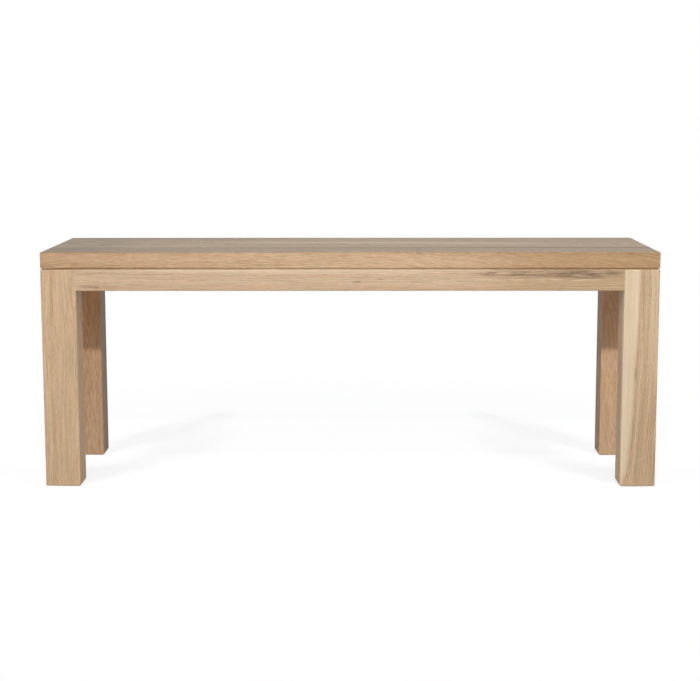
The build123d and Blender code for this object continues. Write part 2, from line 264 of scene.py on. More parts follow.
legs = {
    "leg_front_left": dict(
        warmOak, grain=(0, 0, 1), seed=31, pith=(-470.0, -110.0), slope=(0.004, 0.01), ringWidth=1.7,
        figure=0.22, streak=1.0, wander=6.0, grainLength=150.0, mottle=0.3, banding=0.1, fibres=2.4,
        fibreWidth=0.8, tints=((right, paint(245, 240, 233)),),
    ),
    "leg_front_right": dict(
        warmOak, light=paint(217, 190, 157), dark=paint(180, 147, 114),
        grain=(0, 0, 1), seed=43, pith=(668.0, -60.0), slope=(0.07, 0.0), bend=(-0.00008, 0.0), ringWidth=2.4,
        figure=0.22, streak=1.25, wander=9.0, grainLength=90.0, banding=1.1, fibres=0.8, mottle=1.0,
    ),
    "leg_back_left": dict(
        brownOak, grain=(0, 0, 1), seed=57, pith=(-590.0, 190.0), slope=(0.05, 0.06), ringWidth=1.5,
        figure=0.12, streak=1.0, grainLength=120.0, mottle=1.3, banding=0.8,
        tints=((right, paint(205, 213, 227)),),
    ),
    "leg_back_right": dict(
        tanOak, grain=(0, 0, 1), seed=61, pith=(590.0, 215.0), slope=(-0.06, -0.05), ringWidth=1.6,
        figure=0.10, streak=0.9, grainLength=120.0, mottle=1.0, banding=0.9,
        tints=((left, paint(217, 218, 220)),),
    ),
}

aprons = {
    "apron_front": dict(
        paleOak, grain=(1, 0, 0), seed=71, pith=(-120.0, 330.0), slope=(0.0, 0.012), ringWidth=3.0, figure=0.2,
        streak=0.8, wander=8.0, grainLength=44.0, fibres=0.95, banding=0.85, flecks=0.6,
    ),
    "apron_back": dict(
        paleOak, grain=(1, 0, 0), seed=83, pith=(120.0, 350.0), slope=(0.0, 0.03),
        ringWidth=2.6, figure=0.5, streak=1.2,
    ),
    "apron_left": dict(
        warmOak, grain=(0, 1, 0), seed=97, pith=(-520.0, 360.0), slope=(0.0, 0.05),
        ringWidth=2.4, figure=0.5, streak=1.2,
    ),
    "apron_right": dict(
        warmOak, grain=(0, 1, 0), seed=101, pith=(540.0, 470.0), slope=(0.03, 0.04),
        ringWidth=2.4, figure=0.5, streak=1.2,
    ),
}

# Marks that have a place: middle and half size, along the piece and up it (on a leg across it and
# up), and how strong. Most are in the wood; those on the back legs are painted light and shade.
# A streaky mark breaks up along the fibres. Stains and painted light multiply, so that the figure shows through
# them.
# A mark is on the faces that look one way, or off them, or else runs over the edges.
mineral = {"colour": paint(104, 84, 68), "blend": "MIX"}
cream = {"colour": paint(232, 212, 182), "blend": "MIX"}
honey = {"colour": paint(222, 211, 185), "blend": "MULTIPLY"}
rose = {"colour": paint(228, 211, 203), "blend": "MULTIPLY"}
dusky = {"colour": paint(142, 140, 146), "blend": "MULTIPLY"}
brownish = {"colour": paint(158, 132, 116), "blend": "MULTIPLY"}
# painted light and shade for the back legs: warm bounce light and warm shade under the apron, a painted shade
# part way down, and painted light near the floor
paintedWarmShade = {"colour": (0.985, 0.875, 0.815, 1.0), "blend": "MULTIPLY"}
paintedBounceLight = {"colour": (1.15, 0.99, 0.89, 1.0), "blend": "MULTIPLY"}
paintedPaleLight = {"colour": (1.01, 1.05, 1.065, 1.0), "blend": "MULTIPLY"}
sunny = {"colour": (1.16, 1.08, 0.99, 1.0), "blend": "MULTIPLY"}
paintedDullShade = {"colour": (0.94, 0.955, 0.95, 1.0), "blend": "MULTIPLY"}
apronMarks = [
    {"middle": (-100.0, 428.0), "reach": (480.0, 9.0), "strength": 0.38, "stain": cream},
    {"middle": (-60.0, 391.0), "reach": (620.0, 13.0), "strength": 0.28, "stain": rose},
    {"middle": (460.0, 404.0), "reach": (250.0, 42.0), "strength": 0.52, "stain": honey},
    {"middle": (455.0, 420.0), "reach": (120.0, 14.0), "strength": 0.16, "stain": mineral},
    {"middle": (400.0, 421.0), "reach": (195.0, 14.0), "strength": 0.54, "stain": mineral, "streaky": True},
    {"middle": (300.0, 421.5), "reach": (62.0, 6.5), "strength": 0.62, "stain": mineral, "streaky": True},
    {"middle": (465.0, 420.5), "reach": (70.0, 8.0), "strength": 0.62, "stain": mineral, "streaky": True},
    {"middle": (370.0, 410.0), "reach": (160.0, 4.0), "strength": 0.45, "stain": cream, "streaky": True},
    {"middle": (14.0, 405.5), "reach": (11.0, 2.4), "strength": 0.50, "stain": mineral},
    {"middle": (59.6, 411.3), "reach": (7.0, 1.8), "strength": 0.40, "stain": mineral},
    {"middle": (-500.0, 396.5), "reach": (60.0, 3.5), "strength": 0.70, "stain": mineral, "streaky": True},
    {"middle": (-440.0, 400.5), "reach": (80.0, 1.6), "strength": 0.35, "stain": mineral, "streaky": True},
]
frontBoardMarks = [
    {"middle": (570.0, 448.0), "reach": (360.0, 60.0), "strength": 0.62, "stain": honey, "off": up},
    {"middle": (-620.0, 446.0), "reach": (230.0, 60.0), "strength": 0.30, "stain": honey},
    {"middle": (0.0, 448.0), "reach": (330.0, 60.0), "strength": 0.06, "stain": cream, "off": up},
    {"middle": (134.0, 461.5), "reach": (7.0, 2.2), "strength": 0.40, "stain": mineral},
]
# these lie on the seat's top, along it and across it
topMarks = [
    {"middle": (200.0, -76.0), "reach": (1500.0, 15.0), "strength": 0.34, "stain": dusky, "on": up},
    {"middle": (480.0, -64.0), "reach": (380.0, 15.0), "strength": 0.42, "stain": brownish, "on": up},
    {"middle": (-100.0, -128.0), "reach": (900.0, 34.0), "strength": 0.12, "stain": dusky, "on": up},
    {"middle": (330.0, -174.0), "reach": (640.0, 30.0), "strength": 0.8, "stain": sunny, "on": up},
    {"middle": (-460.0, -140.0), "reach": (260.0, 60.0), "strength": 0.16, "stain": dusky, "on": up},
    {"middle": (-570.0, 30.0), "reach": (170.0, 260.0), "strength": 0.32, "stain": dusky, "on": up},
    {"middle": (-330.0, 150.0), "reach": (330.0, 60.0), "strength": 0.30, "stain": dusky, "on": up},
    {"middle": (60.0, 52.0), "reach": (420.0, 34.0), "strength": 0.35, "stain": cream, "on": up},
    {"middle": (-535.0, 30.0), "reach": (30.0, 7.0), "strength": 0.40, "stain": cream, "on": up},
    {"middle": (330.0, 20.0), "reach": (200.0, 16.0), "strength": 0.25, "stain": cream, "on": up},
]
rightLegMarks = [
    {"middle": (568.0, 380.0), "reach": (4.0, 60.0), "strength": 0.22, "stain": rose},
    {"middle": (562.0, 250.0), "reach": (7.0, 70.0), "strength": 0.20, "stain": honey},
    {"middle": (557.5, 226.0), "reach": (2.4, 20.0), "strength": 0.34, "stain": mineral},
    {"middle": (538.0, 420.0), "reach": (12.0, 120.0), "strength": 0.16, "stain": honey},
    {"middle": (555.5, 350.0), "reach": (4.0, 110.0), "strength": 0.35, "stain": cream},
    {"middle": (585.0, 90.0), "reach": (50.0, 160.0), "strength": 0.14, "stain": honey},
]
# painted light and shade on the back legs' front faces, standing in for the light under the apron and down the
# legs
paintedLightOnBackLegs = [
    {"middle": (-560.0, 330.0), "reach": (90.0, 120.0), "strength": 1.0, "stain": paintedBounceLight, "on": front},
    {"middle": (560.0, 330.0), "reach": (90.0, 120.0), "strength": 1.0, "stain": paintedWarmShade, "on": front},
    {"middle": (-560.0, 180.0), "reach": (90.0, 75.0), "strength": 1.0, "stain": paintedDullShade, "on": front},
    {"middle": (-560.0, 35.0), "reach": (90.0, 110.0), "strength": 1.0, "stain": paintedPaleLight, "on": front},
    {"middle": (560.0, 35.0), "reach": (90.0, 110.0), "strength": 1.0, "stain": paintedPaleLight, "on": front},
]
# the pale wedge of the front right leg: its edge as height and place, and a rosy rim that ends higher up
legSapwood = {
    "colour": paint(229, 208, 176), "strength": 0.66, "blur": 5.0, "wobble": 5.0, "face": -177.5, "wedge": 1.2,
    "edge": ((0.0, 533.0), (30.0, 543.0), (100.0, 549.0), (160.0, 552.8), (225.0, 553.2),
             (300.0, 558.3), (350.0, 560.5), (431.0, 561.0)),
    "rimAway": 5.0, "rimWidth": 4.5, "rimStrength": 0.3, "rimEnds": (240.0, 400.0),
}


def acrossGrain(grain):
    # two directions square to the grain, the first of them level
    grain = Vector(grain).normalized()
    if grain.z > squarely:
        return grain, Vector((1, 0, 0)), Vector((0, 1, 0))
    if grain.y > squarely:
        return grain, Vector((1, 0, 0)), Vector((0, 0, 1))
    return grain, Vector((-grain.y, grain.x, 0)), Vector((0, 0, 1))


class Oak(Shader):
    # a piece's own directions in millimetres, and the noises that more than one thing follows
    def __init__(self, name, wood):
        super().__init__(name)
        self.wood = wood
        self.seed = wood["seed"]
        self.grain, first, second = acrossGrain(wood["grain"])
        self.along, self.level, self.depth = self.place(self.grain, first, second)
        self.findPith()
        length, bands, thin = wood["grainLength"], finishOfOak["bands"], wood["fibreWidth"]
        self.bands = self.alongGrain(length * bands["stretch"], bands["width"], 1.0)
        self.fibres = self.noise(self.along / length, self.fromPithA / thin + self.seed, self.fromPithB / thin)

    def findPith(self):
        # the trunk wanders a little, so rings are never quite straight
        wood, along, level, depth = self.wood, self.along, self.level, self.depth
        look = finishOfOak["drift"]
        drift = self.noise(along / look["length"] + self.seed, level / look["width"], depth / look["width"],
                           output=1)
        parts = self.node("ShaderNodeSeparateColor", {}, (drift,))
        driftA, driftB = (Wire(self, parts.socket.node.outputs[index]) for index in range(2))
        ripple = finishOfOak["ripple"]
        ripples = self.noise(along / ripple["length"], level / ripple["width"] + self.seed,
                             depth / ripple["width"])
        self.fromPithA = (self.besidePith(level, 0) + (driftA - 0.5) * wood["wander"]
                          + (ripples - 0.5) * ripple["size"])
        self.fromPithB = self.besidePith(depth, 1) + (driftB - 0.5) * wood["wander"]
        self.radius = (self.fromPithA * self.fromPithA + self.fromPithB * self.fromPithB) ** 0.5
        self.roundPith = self.fromPithB.math("ARCTAN2", self.fromPithA) * Vector(wood["pith"]).length

    def besidePith(self, across, index):
        # how far a point lies to one side of the pith
        wood, along = self.wood, self.along
        return across - wood["pith"][index] - along * wood["slope"][index] - along * along * wood["bend"][index]

    def alongGrain(self, length, width, detail):
        # a noise drawn out along the fibres
        return self.noise(self.along / length + self.seed, self.fromPithA / width, self.fromPithB / width,
                          detail)

    def toward(self, way):
        # 1 on the faces that look one way
        return self.facing(way).rise(*finishOfOak["tint"]["edge"])

    def withSapwood(self, colour, sapwood):
        # the wedge's edge climbs from one height to the next
        edge = sapwood["edge"][0][1]
        for (lower, placeA), (higher, placeB) in zip(sapwood["edge"], sapwood["edge"][1:]):
            rise = higher - lower
            edge = edge + (self.along / rise - lower / rise).clamped() * (placeB - placeA)
        beside = (self.level - edge + (self.depth - sapwood["face"]) * sapwood["wedge"]
                  + (self.bands - 0.5) * sapwood["wobble"])
        inside = 1 - beside.rise(-sapwood["blur"], sapwood["blur"])
        colour = self.mix(inside * sapwood["strength"], colour, sapwood["colour"])
        rim = 1 - abs(beside - sapwood["rimAway"]).rise(0.0, sapwood["rimWidth"])
        rim = rim * sapwood["rimStrength"] * (1 - self.along.rise(*sapwood["rimEnds"]))
        return self.mix(rim, colour, rose["colour"], blend=rose["blend"])

    def withMark(self, colour, mark):
        # marks lie along the grain, and up the face or across the top; on an upright piece across and up
        look = finishOfOak["mark"]
        sideways, upwards = (self.level, self.along) if self.grain.z > squarely else (self.along, self.depth)
        if mark.get("on") == up:
            upwards = self.level
        (middleX, middleZ), (reachX, reachZ) = mark["middle"], mark["reach"]
        awayX = (sideways - middleX) / reachX
        awayZ = (upwards - middleZ + (self.bands - 0.5) * look["wobble"]) / reachZ
        near = 1 - (awayX * awayX + awayZ * awayZ + (self.fibres - 0.5) * look["ragged"]).rise(0.0, 1.0)
        if "streaky" in mark:
            wisps = self.noise(self.along / look["length"], self.level / look["width"] + self.seed,
                               self.depth / look["width"], detail=3.0, roughness=0.6)
            near = near * wisps.rise(*look["edge"])
        if "on" in mark:
            near = near * self.toward(mark["on"])
        if "off" in mark:
            near = near * (1 - self.toward(mark["off"]))
        return self.mix(near * mark["strength"], colour, mark["stain"]["colour"], blend=mark["stain"]["blend"])


def oakMaterial(name, wood, marks=(), sapwood=None, glueLines=()):
    oak = Oak(name, wood)
    along, level, depth, radius = oak.along, oak.level, oak.depth, oak.radius
    fromPithA, fromPithB, seed = oak.fromPithA, oak.fromPithB, oak.seed

    # growth rings: the porous spring wood starts sharply and fades into the dense summer wood
    look = finishOfOak["growth"]
    growth = oak.noise(radius / look["width"], seed * look["seedStep"], 0.0)
    ring = radius / wood["ringWidth"] + (growth - 0.5) * look["size"]
    ringPart = ring.math("FRACT")
    ringTone = oak.node("ShaderNodeTexWhiteNoise", {"noise_dimensions": "1D"}, {"W": ring.math("FLOOR") + seed})
    springLook = finishOfOak["spring"]
    spring = ringPart.rise(*springLook["rise"]) * (1 - ringPart.rise(*springLook["fall"]))

    # pores are short vessels along the grain, rays are thin ribbons that stand out from the pith
    poreLook, rayLook = finishOfOak["pore"], finishOfOak["ray"]
    gap, inSummer = poreLook["gap"], poreLook["inSummer"]
    pores = oak.spots(along / poreLook["length"] + seed, fromPithA / gap, fromPithB / gap)
    pore = (1 - pores.rise(*poreLook["edge"])) * (spring * (1 - inSummer) + inSummer)
    rays = oak.noise(along / rayLook["length"], radius / rayLook["width"] + seed,
                     oak.roundPith / rayLook["thickness"], detail=0.0)
    ray = rays.rise(*rayLook["edge"])

    # tone of the wood: broad bands, fine streaks, and the rings
    length, streak, figure = wood["grainLength"], wood["streak"], wood["figure"]
    look = finishOfOak["broad"]
    broad = oak.noise(along / look["length"], level / look["width"] + seed, depth / look["width"], detail=2.0)
    look = finishOfOak["flecks"]
    flecks = oak.alongGrain(look["length"], look["width"], 0.0)
    look = finishOfOak["hues"]
    hues = oak.alongGrain(length * look["stretch"], look["width"], 1.0)
    tone = (0.5 + (spring - springLook["mean"]) * figure + (ringTone - 0.5) * (figure * springLook["ringShare"])
            + (broad - 0.5) * (wood["mottle"] * streak) + (oak.bands - 0.5) * (wood["banding"] * streak)
            + (oak.fibres - 0.5) * (wood["fibres"] * streak) + (flecks - 0.5) * (wood["flecks"] * streak))
    darker = oak.mix(hues.rise(*look["edge"]), wood["dark"], wood["dusk"])
    colour = oak.mix(tone.clamped(), wood["light"], darker)
    colour = oak.mix(pore * poreLook["strength"], colour, poreLook["colour"])
    colour = oak.mix(ray * rayLook["strength"], colour, rayLook["colour"])
    look = finishOfOak["tinge"]
    tinge = oak.noise(along / (length * look["stretch"]), fromPithA / look["width"],
                      fromPithB / look["width"] + seed).rise(*look["edge"])
    colour = oak.mix(1.0, colour, oak.mix(tinge, look["redder"], look["greener"]), blend="MULTIPLY")
    # painted shade on the faces that look one way: the seat's top and the legs' inner sides
    for way, tint in wood["tints"]:
        colour = oak.mix(oak.toward(way), colour, tint, blend="MULTIPLY")

    if sapwood:
        colour = oak.withSapwood(colour, sapwood)
    for mark in marks:
        colour = oak.withMark(colour, mark)
    look = finishOfOak["glue"]
    for line in glueLines:
        seam = 1 - abs(level - line).rise(*look["edge"])
        colour = oak.mix(seam * look["strength"], colour, look["colour"])

    # end grain drinks more finish: its arcs are darker and its rays stand out as fine lines
    end = finishOfOak["end"]
    cut = abs(oak.facing(oak.grain)).rise(*end["edge"])
    arcs = oak.noise(radius / end["arcWidth"], seed * end["seedStep"], oak.roundPith / end["arcLength"],
                     detail=2.0, roughness=0.6)
    spokes = oak.noise(radius / end["spokeLength"], oak.roundPith / end["spokeWidth"] + seed, 0.0, detail=0.0)
    endTone = ((arcs - 0.5) * end["arcs"] + spring * end["springs"] + end["middle"]
               - spokes.rise(*end["spokeEdge"]) * end["spokes"]).clamped()
    colour = oak.mix(cut, colour, oak.mix(endTone, end["pale"], end["deep"]), blend="MULTIPLY")

    fibreLook = finishOfOak["fibres"]
    roughness = (wood["roughness"] + pore * poreLook["roughness"] - ray * rayLook["gloss"]
                 + (oak.fibres - 0.5) * fibreLook["roughness"] + cut * end["roughness"])
    height = (finishOfOak["surface"] - pore * poreLook["depth"] - spring * springLook["depth"]
              + (oak.fibres - 0.5) * fibreLook["depth"])
    return oak.finish(colour, roughness, height, finishOfOak["bumpDepth"], specular=wood["specular"])


def dress(nodeName, material):
    # a CAD node keeps its mesh and gets this material
    node = frame["nodes"][nodeName]
    node.data.materials.clear()
    node.data.materials.append(material)


glueLines = [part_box("seat_board_front")[1][1] / mm]
for name, wood in seatBoards.items():
    marks = topMarks + (frontBoardMarks if name == "seat_board_front" else [])
    dress(name, oakMaterial(name, wood, marks=marks, glueLines=glueLines))
for name, wood in legs.items():
    marks = paintedLightOnBackLegs if "back" in name else rightLegMarks if name == "leg_front_right" else ()
    sapwood = legSapwood if name == "leg_front_right" else None
    dress(name, oakMaterial(name, wood, marks=marks, sapwood=sapwood))
for name, wood in aprons.items():
    dress(name, oakMaterial(name, wood, marks=apronMarks if name == "apron_front" else ()))
print("seat, legs and aprons are oak")

# Fittings under the seat, cut from offcuts with the grain along each piece
offcuts = {"ringWidth": 2.2, "figure": 0.6, "streak": 1.0}
offcutRange = {"aside": 60, "away": (40, 110), "slope": 0.04, "slant": 0.08, "seeds": (200, 900), "draw": 5}
offcutDraw = random.Random(offcutRange["draw"])
for name, node in frame["nodes"].items():
    low, high = (Vector(corner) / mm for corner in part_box(name))
    middle = (low + high) / 2
    if name.startswith("corner_brace"):
        side = math.copysign(1, middle.x * middle.y)
        grain = Vector((high.x - low.x, -(high.y - low.y) * side, 0)).normalized()
    elif name.startswith(("button_front", "button_back")) or name == "centre_rail":
        grain = Vector((0, 1, 0))
    elif name in ("button_left", "button_right"):
        grain = Vector((1, 0, 0))
    else:
        continue
    grain, first, second = acrossGrain(grain)
    aside, slope, slant = offcutRange["aside"], offcutRange["slope"], offcutRange["slant"]
    pith = (
        middle.dot(first) + offcutDraw.uniform(-aside, aside),
        middle.dot(second) + offcutDraw.choice((-1, 1)) * offcutDraw.uniform(*offcutRange["away"]),
    )
    wood = dict(
        offcutDraw.choice((warmOak, paleOak, brownOak)), **offcuts, grain=tuple(grain),
        seed=offcutDraw.randint(*offcutRange["seeds"]), pith=pith,
        slope=(offcutDraw.uniform(-slope, slope), offcutDraw.uniform(-slant, slant)),
    )
    dress(name, oakMaterial(name, wood))
print("braces, buttons and rail are oak")


beechLook = {
    "light": paint(222, 190, 152), "dark": paint(190, 150, 112), "fleck": paint(140, 98, 68),
    "length": 5.0, "width": 1.1, "thickness": 0.8, "fleckLength": 2.2, "fleckWidth": 0.5, "fleckStrength": 0.5,
    "roughness": 0.62, "depth": 0.1,
}


def pressedBeech(name):
    # flakes pressed flat, with the grain at a slant to the biscuit
    beech, look = Shader(name), beechLook
    along, across, upright = beech.place((0.707, 0.707, 0), (0.707, -0.707, 0), (0, 0, 1))
    flakes = beech.noise(along / look["length"], across / look["width"], upright / look["thickness"],
                         detail=2.0)
    flecks = 1 - beech.spots(along / look["fleckLength"], across / look["fleckWidth"],
                             upright / look["fleckWidth"]).rise(0.15, 0.35)
    colour = beech.mix(flakes.rise(0.3, 0.7), look["light"], look["dark"])
    colour = beech.mix(flecks * look["fleckStrength"], colour, look["fleck"])
    return beech.finish(colour, look["roughness"] + flakes * 0.1, flakes * 0.7 + 0.1, look["depth"])


zincLook = {"bright": paint(206, 208, 208), "dull": paint(168, 172, 176), "roughness": 0.34}
nailLook = {"bright": paint(180, 180, 182), "dull": paint(140, 140, 144), "roughness": 0.42}
steelWear = {"cloud": 1.6, "clouding": 0.2, "scratch": (2.5, 0.09, 0.3), "scratching": 0.1, "scratchDepth": 0.4,
             "depth": 0.02}


def steelMaterial(name, look):
    # a thin plating with cloudy patches and handling scratches
    steel, wear = Shader(name), steelWear
    x, y, z = steel.place((1, 0, 0), (0, 1, 0), (0, 0, 1))
    clouds = steel.noise(x / wear["cloud"], y / wear["cloud"], z / wear["cloud"], detail=3.0)
    scratchX, scratchY, scratchZ = wear["scratch"]
    scratches = steel.noise(x / scratchX, y / scratchY, z / scratchZ).rise(0.55, 0.75)
    colour = steel.mix(clouds.rise(0.35, 0.65), look["bright"], look["dull"])
    cloudy = (clouds - 0.5) * wear["clouding"]
    return steel.finish(colour, look["roughness"] + cloudy + scratches * wear["scratching"],
                        0.8 - scratches * wear["scratchDepth"] + cloudy, wear["depth"], metallic=1.0)


nylonLook = {
    "light": paint(224, 219, 206), "dark": paint(196, 190, 176), "scuffed": paint(120, 108, 94),
    "grain": 0.25, "scuffLength": 5.0, "scuffWidth": 0.4, "scuffHeight": (0.1, 0.6), "scuffStrength": 0.6,
    "roughness": 0.5, "depth": 0.06,
}


def mouldedNylon(name):
    # a fine moulding grain, scuffed where it meets the floor
    nylon, look = Shader(name), nylonLook
    x, y, z = nylon.place((1, 0, 0), (0, 1, 0), (0, 0, 1))
    grain = nylon.noise(x / look["grain"], y / look["grain"], z / look["grain"])
    scuffs = nylon.noise(x / look["scuffLength"], y / look["scuffWidth"], z, detail=2.0).rise(0.55, 0.7)
    scuffs = scuffs * (1 - z.rise(*look["scuffHeight"]))
    colour = nylon.mix(grain * 0.3, look["light"], look["dark"])
    colour = nylon.mix(scuffs * look["scuffStrength"], colour, look["scuffed"])
    return nylon.finish(colour, look["roughness"] + scuffs * 0.3 + (grain - 0.5) * 0.1,
                        grain * 0.6 + 0.2 - scuffs * 0.2, look["depth"])


beech = pressedBeech("pressed beech")
zinc = steelMaterial("zinc plated steel", zincLook)
nailSteel = steelMaterial("nail steel", nailLook)
nylon = mouldedNylon("nylon")
for name in frame["nodes"]:
    if name.startswith("seat_biscuits"):
        dress(name, beech)
    elif name.startswith("glide_") and name != "glide_nails":
        dress(name, nylon)
dress("rail_washers", zinc)
print("biscuits, washers and glides have their materials")


# Screws and nails by Geometry Nodes: a rod drawn in and out round its middle, set on a point for each place.
# Lengths are in millimetres from the top of the head.

buttonScrews = {"length": 35.0, "shank": 2.0, "headRadius": 4.0, "panHeight": 0.0, "threadPitch": 1.8,
                "threadDepth": 0.45, "threadFrom": 12.0, "pointLength": 5.0, "recess": 2.3, "recessDepth": 1.7}
braceScrews = dict(buttonScrews, length=30.0, threadFrom=10.0)
railScrews = dict(buttonScrews, length=36.8, panHeight=2.8, threadFrom=7.0, recessDepth=1.9)
glideNails = {"length": 20.0, "shank": 1.3, "headRadius": 4.0, "panHeight": 1.0, "threadPitch": 0.9,
              "threadDepth": 0.14, "threadFrom": 5.0, "pointLength": 2.6, "recess": 0.0, "recessDepth": 0.0}
# the rod's faces, the dome of a pan head, how sharp the crests are, and how blunt the point is
rod = {"sides": 24, "rows": 150, "domeShare": 0.55, "domeDrop": 0.18, "crest": 5, "runIn": 1.5,
       "blunt": 0.03, "taper": 0.8, "recessWidth": 1.1, "spin": 6.28, "seed": 7}


class Group(Tree):
    # a geometry node tree with named inputs
    def __init__(self, name, sizes):
        self.group = bpy.data.node_groups.new(name, "GeometryNodeTree")
        self.group.interface.new_socket("Geometry", in_out="INPUT", socket_type="NodeSocketGeometry")
        self.ids = {}
        for size in sizes:
            made = self.group.interface.new_socket(size, in_out="INPUT", socket_type="NodeSocketFloat")
            self.ids[size] = made.identifier
        self.group.interface.new_socket("Geometry", in_out="OUTPUT", socket_type="NodeSocketGeometry")
        super().__init__(self.group)
        self.entry = self.nodes.new("NodeGroupInput")

    def size(self, name):
        return Wire(self, self.entry.outputs[name])


def fastenerTree(name, sizes, material, spiral):
    # built head up along Z with the top of the head at 0, then set on each point and turned to its drive
    tree = Group(name, sizes)
    length, shank, headRadius, panHeight = (
        tree.size(key) for key in ("length", "shank", "headRadius", "panHeight")
    )
    straight = tree.node("GeometryNodeMeshCylinder", {"fill_type": "TRIANGLE_FAN"}, {
        "Vertices": rod["sides"], "Side Segments": rod["rows"], "Radius": 1.0, "Depth": length * mm,
    })
    place = tree.node("GeometryNodeInputPosition", {}, ())
    parts = tree.node("ShaderNodeSeparateXYZ", {}, (place,))
    x, y, z = (Wire(tree, parts.socket.node.outputs[index]) for index in range(3))
    deep = length / 2 - z / mm
    angle = y.math("ARCTAN2", x)

    # the head: a cone that runs down to the shank, or a domed pan with a flat underside
    cone = (headRadius - deep).math("MAXIMUM", shank)
    inPan = 1 - deep.math("GREATER_THAN", panHeight)
    domeHeight = panHeight * rod["domeShare"]
    nearTop = (domeHeight - deep).math("MAXIMUM", 0.0) / (domeHeight + mm)  # never divides by nothing
    dome = headRadius * (1 - nearTop ** 2.0 * rod["domeDrop"])
    isPan = panHeight.math("GREATER_THAN", 0.01)
    outline = isPan * (inPan * dome + (1 - inPan) * shank) + (1 - isPan) * cone

    # the thread or the rings below the plain part, and the point
    turns = deep / tree.size("threadPitch")
    if spiral:
        turns = turns + angle / (2 * math.pi)
    crest = (1 - abs(turns.math("FRACT") - 0.5) * rod["crest"]).math("MAXIMUM", 0.0)
    threaded = (deep - tree.size("threadFrom")).rise(0.0, rod["runIn"])
    narrowing = ((length - deep) / tree.size("pointLength")).clamped() ** rod["taper"]
    root = outline - threaded * tree.size("threadDepth")
    pointed = narrowing * (1 - rod["blunt"]) + rod["blunt"]
    radius = (root + threaded * crest * tree.size("threadDepth")) * pointed
    rim = (x * x + y * y).math("GREATER_THAN", 0.25)  # the middle points of the two caps stay put
    newX = angle.math("COSINE") * radius * rim * mm
    newY = angle.math("SINE") * radius * rim * mm
    shaped = tree.node("GeometryNodeSetPosition", {}, {
        "Geometry": straight, "Position": tree.point(newX, newY, deep * -mm),
    })
    if sizes["recess"]:
        # a plain cross recess
        blade = tree.node("GeometryNodeMeshCube", {}, {
            "Size": tree.point(tree.size("recess") * (2 * mm), rod["recessWidth"] * mm,
                               tree.size("recessDepth") * (2 * mm)),
        })
        for turn in (0, math.pi / 2):
            turned = tree.node("GeometryNodeTransform", {}, {"Geometry": blade, "Rotation": (0, 0, turn)})
            shaped = tree.node("GeometryNodeMeshBoolean", {"operation": "DIFFERENCE", "solver": "EXACT"},
                               {0: shaped, 1: turned})

    # each one stands along its point's drive, turned by chance round its own length
    drive = tree.node("GeometryNodeInputNamedAttribute", {"data_type": "FLOAT_VECTOR"}, {"Name": "drive"})
    aligned = tree.node("FunctionNodeAlignRotationToVector", {"axis": "Z"}, {"Vector": drive})
    spin = tree.node("FunctionNodeRandomValue", {"data_type": "FLOAT"},
                     {"Min": 0.0, "Max": rod["spin"], "Seed": rod["seed"]}, output=1)
    twist = tree.node("FunctionNodeAxisAngleToRotation", {}, {"Axis": (0, 0, 1), "Angle": spin})
    rotation = tree.node("FunctionNodeRotateRotation", {"rotation_space": "LOCAL"}, (aligned, twist))
    points = tree.node("GeometryNodeMeshToPoints", {}, {"Mesh": tree.size("Geometry")})
    placed = tree.node("GeometryNodeInstanceOnPoints", {}, {
        "Points": points, "Instance": shaped, "Rotation": rotation,
    })
    whole = tree.node("GeometryNodeRealizeInstances", {}, (placed,))
    finished = tree.node("GeometryNodeSetMaterial", {}, {"Geometry": whole, "Material": material})
    tree.node("NodeGroupOutput", {}, {"Geometry": finished})
    return tree


def setFasteners(name, sizes, places, material, spiral):
    # places: the top of each head and the way out of the wood, in metres
    mesh = bpy.data.meshes.new(name + " places")
    mesh.from_pydata([tuple(top) for top, out in places], [], [])
    drive = mesh.attributes.new("drive", "FLOAT_VECTOR", "POINT")
    for item, (top, out) in zip(drive.data, places):
        item.vector = tuple(out)
    host = bpy.data.objects.new(name + " places", mesh)
    bpy.context.scene.collection.objects.link(host)
    tree = fastenerTree(name, sizes, material, spiral)
    modifier = host.modifiers.new("fasteners", "NODES")
    modifier.node_group = tree.group
    for size, value in sizes.items():
        modifier[tree.ids[size]] = float(value)
    evaluated = host.evaluated_get(bpy.context.evaluated_depsgraph_get())
    plain = bpy.data.meshes.new_from_object(evaluated)
    host.modifiers.remove(modifier)
    bpy.data.objects.remove(host)
    plain.name = name
    piece = bpy.data.objects.new(name.replace("_", " ").title().replace(" ", ""), plain)
    bpy.context.scene.collection.objects.link(piece)
    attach(piece, "root")
    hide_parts(name)
    print(piece.name, len(plain.polygons), "faces at", len(places), "places")


def islandsOf(nodeName):
    # the separate solids of a CAD node, each as the list of its points
    mesh = frame["nodes"][nodeName].data
    corners = [tuple(round(value, 6) for value in vertex.co) for vertex in mesh.vertices]
    group = {corner: corner for corner in corners}

    def root(key):
        while group[key] != key:
            group[key] = group[group[key]]
            key = group[key]
        return key
    for face in mesh.polygons:
        keys = [corners[index] for index in face.vertices]
        for key in keys[1:]:
            group[root(key)] = root(keys[0])
    islands = {}
    for key in group:
        islands.setdefault(root(key), []).append(Vector(key))
    return list(islands.values())


def placesOf(nodeName, headRadius):
    # a screw's way out is its long axis, and its head is the end with the wide ring
    places = []
    ringShare = 0.9
    for points in islandsOf(nodeName):
        low = Vector([min(point[axis] for point in points) for axis in range(3)])
        high = Vector([max(point[axis] for point in points) for axis in range(3)])
        middle = (low + high) / 2
        axis = max(range(3), key=lambda index: high[index] - low[index])
        ring = []
        for point in points:
            aside = point - middle
            aside[axis] = 0
            if aside.length > headRadius * ringShare:
                ring.append(point[axis])
        out = Vector([0, 0, 0])
        out[axis] = 1 if sum(ring) / len(ring) > middle[axis] else -1
        top = middle.copy()
        top[axis] = high[axis] if out[axis] > 0 else low[axis]
        places.append((top, out))
    places.sort(key=lambda place: tuple(round(value, 4) for value in place[0]))
    return places


